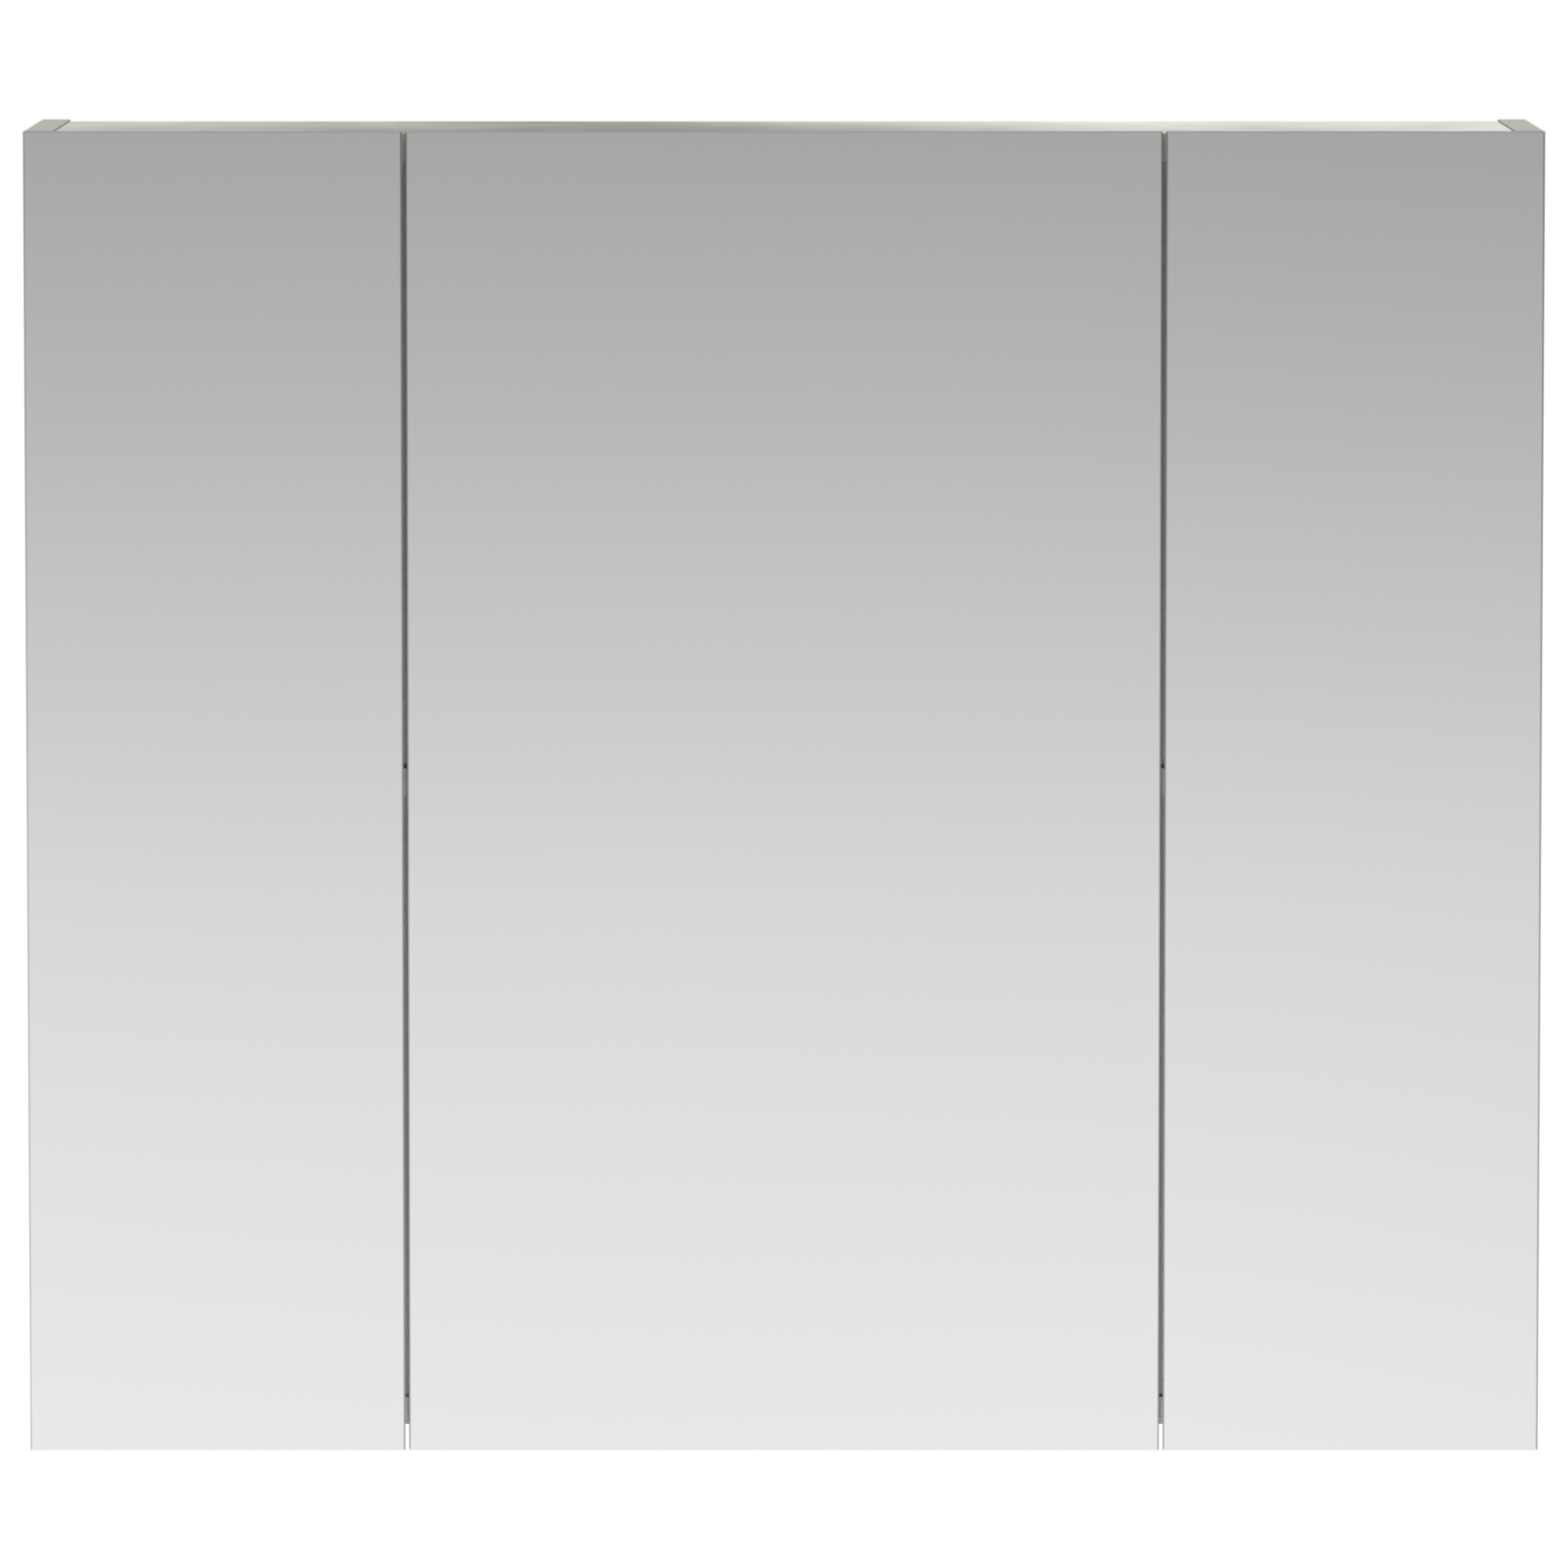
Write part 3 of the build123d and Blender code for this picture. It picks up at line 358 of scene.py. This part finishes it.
castZinc = {"base": "#b4b6b8", "fleck": "#a7a9ac", "fleckSize": 1.2, "roughness": (0.38, 0.5),
            "bumpDepth": 0.03, "metallic": 1.0}


def dieCastZinc():
    # cast in steel dies and tumbled: dull light grey with a fine grain
    return speckled("die_cast_zinc", **castZinc)[0]


brightZinc = {"base": "#c9cccf", "fleck": "#bcc1c6", "fleckSize": 2.5, "roughness": (0.2, 0.3),
              "bumpDepth": 0.01, "metallic": 1.0}


def brightZincPlate():
    # plated screws: clear, slightly bluish shine
    return speckled("bright_zinc_plate", **brightZinc)[0]


zincDip = {"base": "#b9bdc0", "fleck": "#a9adb1", "fleckSize": 7.0, "roughness": (0.28, 0.45),
           "bumpDepth": 0.02, "metallic": 1.0}


def galvanisedSheet():
    # hot-dip galvanised strip: soft spangle
    return speckled("galvanised_sheet", **zincDip)[0]


nickel = {"base": "#c8c5bf", "fleck": "#beb9b1", "fleckSize": 5.0, "roughness": (0.14, 0.22),
          "bumpDepth": 0.008, "metallic": 1.0}


def nickelPlate():
    # nickel-plated steel: warm bright metal, nearly a mirror
    return speckled("nickel_plate", **nickel)[0]


coverAbs = {"base": "#dcd9d2", "fleck": "#d5d2cb", "fleckSize": 0.9, "roughness": (0.42, 0.52),
            "bumpDepth": 0.03}


def mouldedAbs():
    # injection-moulded ABS cover, spark-eroded tool: off-white with a fine even texture
    return speckled("moulded_abs", **coverAbs)[0]


spacerNylon = {"base": "#9c9b98", "fleck": "#918f8c", "fleckSize": 1.5, "roughness": (0.5, 0.62),
               "bumpDepth": 0.04}


def glassFilledNylon():
    # moulded spacer: mid grey, slightly streaky
    return speckled("glass_filled_nylon", **spacerNylon)[0]


silicone = {"base": "#f2f4f4", "fleck": "#e6eaea", "fleckSize": 2.0, "roughness": (0.12, 0.2),
            "bumpDepth": 0.02, "ior": 1.41, "transmission": 0.5}


def clearSilicone():
    # cast silicone bumper: cloudy, so that only half of the light goes through
    return speckled("clear_silicone", **silicone)[0]


foamTape = {"base": "#c9c9c6", "fleck": "#bdbdba", "fleckSize": 0.6, "roughness": (0.6, 0.75),
            "bumpDepth": 0.05}


def acrylicFoamTape():
    # mounting tape between shoe and mirror: grey-white foam with fine cells
    return speckled("acrylic_foam_tape", **foamTape)[0]


finishes = {
    "silvered_mirror": silveredFloatGlass,
    "bonding_pad": acrylicFoamTape,
    "decor_board": melamineFacedChipboard,
    "edge_band": absEdgeBand,
    "coated_hardboard": lacqueredHardboard,
    "beech_dowel": turnedBeech,
    "die_cast_zinc": dieCastZinc,
    "zinc_plated_screw": brightZincPlate,
    "galvanised_steel": galvanisedSheet,
    "nickel_plated_steel": nickelPlate,
    "cover_plastic": mouldedAbs,
    "spacer_plastic": glassFilledNylon,
    "clear_bumper": clearSilicone,
}
made = {slotName: make() for slotName, make in finishes.items()}
print("made", len(made), "materials")

for part in frame["record"]["subparts"]:
    node = frame["nodes"][part["node"]]
    if not node.material_slots:
        node.data.materials.append(None)
    for slot in node.material_slots:
        slot.material = made[part["material_slot"]]

studio = {
    "floor": "#f4f4f2",
    "floorRough": 0.9,
    "floorGlow": 0.85,        # a backlit acrylic sheet
    "floorHeight": -0.6,      # the cabinet hangs on a wall, well above it
    "floorRadius": 5.0,
    "floorRings": 12,
    "floorSpokes": 96,
    # what the mirrors look at: sine of the angle above level, and brightness there, falling
    # from the lit floor to the dim far end of the studio
    "horizon": [(-0.28, 1.0), (-0.16, 0.93), (-0.1386, 0.891), (-0.1085, 0.784),
                (-0.0881, 0.67), (-0.0675, 0.564), (-0.04, 0.432), (0.1, 0.38)],
    # the share that is left of it: less on the floor part of the way down and on the upper
    # walls, all of it straight below, near the horizon and overhead
    "share": [(-1.0, 1.0), (-0.75, 0.68), (-0.5, 0.62), (-0.34, 1.0), (-0.2, 1.0),
              (0.05, 1.0), (0.3, 0.4), (0.8, 0.4), (0.9, 1.0), (1.0, 1.0)],
    "sideShade": 0.3,         # how much dimmer it is to the left and right
    "tilt": 0.22,             # and dimmer on the right than on the left
    "unevenness": 0.03,
    "patchScale": 9.0,
    "softboxes": [
        # name, place, aim, size, watts, seen in reflections
        ("key", (-1.9, -2.6, 2.9), (0.0, 0.0, 0.45), 2.2, 24, True),
        ("fill", (2.5, -1.7, 1.9), (0.0, 0.0, 0.35), 1.2, 9, True),
        ("top", (0.3, 0.9, 3.2), (0.0, 0.0, 0.50), 2.4, 85, False),
        ("low", (0.0, -1.1, -0.3), (0.0, 0.0, 0.05), 0.5, 10, False),
    ],
}


def paleFloor():
    # a disc: (r cos t, r sin t, height) over rings of radius r and spokes at angle t, with a
    # middle point, its last spoke joined to its first
    rings, spokes = studio["floorRings"], studio["floorSpokes"]
    r = np.linspace(0, studio["floorRadius"], rings + 1)[1:]
    t = np.linspace(0, 2 * np.pi, spokes, endpoint=False)
    grid = np.stack([np.outer(r, np.cos(t)), np.outer(r, np.sin(t)), np.zeros((rings, spokes))], -1)
    points = np.vstack([[0, 0, 0], grid.reshape(-1, 3)]) + [0, 0, studio["floorHeight"]]
    a = np.arange(spokes)
    b = (a + 1) % spokes
    hub = np.stack([np.zeros(spokes, int), a + 1, b + 1], -1).tolist()
    i = np.arange(rings - 1)[:, None] * spokes + 1
    strips = np.stack([i + a, i + spokes + a, i + spokes + b, i + b], -1).reshape(-1, 4).tolist()
    mesh = bpy.data.meshes.new("floor")
    mesh.from_pydata(points.tolist(), [], hub + strips)
    floor = bpy.data.objects.new("floor", mesh)
    bpy.context.scene.collection.objects.link(floor)
    # opal acrylic sheet lit from below: an even white
    material, _, shader = newMaterial("backlit_acrylic")
    setShader(shader, Base_Color=toLinear(studio["floor"]), Roughness=studio["floorRough"],
              Emission_Color=toLinear(studio["floor"]), Emission_Strength=studio["floorGlow"])
    mesh.materials.append(material)
    floor.visible_glossy = False


def studioWorld():
    # the camera sees white behind the cabinet, and all other rays see the surround
    world = bpy.data.worlds.new("studio")
    bpy.context.scene.world = world
    world.use_nodes = True
    tree = world.node_tree
    coord = addNode(tree, "ShaderNodeTexCoord")
    way = addNode(tree, "ShaderNodeSeparateXYZ", {"Vector": coord.outputs["Generated"]})
    bands = []
    for stops in (studio["horizon"], studio["share"]):
        low, high = stops[0][0], stops[-1][0]
        height = addNode(tree, "ShaderNodeMapRange", {"Value": way.outputs["Z"]},
                         inputs={"From Min": low, "From Max": high})
        ramp = addNode(tree, "ShaderNodeValToRGB", {"Fac": height.outputs["Result"]})
        ramp.color_ramp.interpolation = "B_SPLINE"
        elements = ramp.color_ramp.elements
        while len(elements) < len(stops):
            elements.new(0.5)
        for element, (sine, value) in zip(elements, stops):
            element.position = (sine - low) / (high - low)
            element.color = (value, value, value, 1)
        bands.append(ramp.outputs["Color"])
    banded = addNode(tree, "ShaderNodeVectorMath", {0: bands[0], 1: bands[1]}, operation="MULTIPLY")
    # dimmer to both sides by x squared, dimmer to the right by x, and a little uneven
    aside = addNode(tree, "ShaderNodeMath", {0: way.outputs["X"], 1: way.outputs["X"]},
                    operation="MULTIPLY")
    level = addNode(tree, "ShaderNodeMath", {0: way.outputs["X"]}, operation="MULTIPLY_ADD",
                    inputs={1: -studio["tilt"], 2: 1.0})
    shade = addNode(tree, "ShaderNodeMath", {0: aside.outputs[0], 2: level.outputs[0]},
                    operation="MULTIPLY_ADD", inputs={1: -studio["sideShade"]})
    patches = addNode(tree, "ShaderNodeTexNoise", {"Vector": coord.outputs["Generated"]},
                      inputs={"Scale": studio["patchScale"], "Detail": 1.0})
    patch = addNode(tree, "ShaderNodeMapRange", {"Value": patches.outputs["Fac"]},
                    inputs={"To Min": 1 - studio["unevenness"], "To Max": 1 + studio["unevenness"]})
    dim = addNode(tree, "ShaderNodeMath", {0: shade.outputs[0], 1: patch.outputs["Result"]},
                  operation="MULTIPLY")
    surround = addNode(tree, "ShaderNodeVectorMath",
                       {0: banded.outputs["Vector"], "Scale": dim.outputs[0]}, operation="SCALE")
    ray = addNode(tree, "ShaderNodeLightPath")
    colour = addNode(tree, "ShaderNodeMix", {"Factor": ray.outputs["Is Camera Ray"],
                                             "A": surround.outputs["Vector"]}, data_type="RGBA")
    colour.inputs["B"].default_value = (1, 1, 1, 1)
    tree.links.new(colour.outputs["Result"], tree.nodes["Background"].inputs["Color"])


def softbox(name, place, aim, size, watts, seen):
    data = bpy.data.lights.new(name, "AREA")
    data.shape, data.size, data.energy = "SQUARE", size, watts
    light = bpy.data.objects.new(name, data)
    light.location = place
    light.rotation_mode = "QUATERNION"
    light.rotation_quaternion = (Vector(aim) - Vector(place)).to_track_quat("-Z", "Y")
    light.visible_glossy = seen
    bpy.context.scene.collection.objects.link(light)


paleFloor()
studioWorld()
for settings in studio["softboxes"]:
    softbox(*settings)
bpy.context.scene.view_settings.view_transform = "Standard"
print("studio built:", len(studio["softboxes"]), "softboxes")

viewpoint = {
    "distance": 6.0,            # from the mirrors, in metres
    "rise": 0.248,              # above the cabinet's top
    "pitch": 5.01,              # degrees down
    "lens": 262.1,
    "sensor": 36,
    "shift": -0.08,
    "reach": 100,
}
camera = bpy.data.cameras.new("camera")
camera.lens, camera.sensor_width = viewpoint["lens"], viewpoint["sensor"]
camera.shift_y = viewpoint["shift"]
camera.clip_end = viewpoint["reach"]
cameraObject = bpy.data.objects.new("camera", camera)
cameraObject.location = (0, cadLow.y - viewpoint["distance"], cadHigh.z + viewpoint["rise"])
cameraObject.rotation_euler = (math.radians(90 - viewpoint["pitch"]), 0, 0)
bpy.context.scene.collection.objects.link(cameraObject)
bpy.context.scene.camera = cameraObject
print("camera", viewpoint["distance"], "m in front")
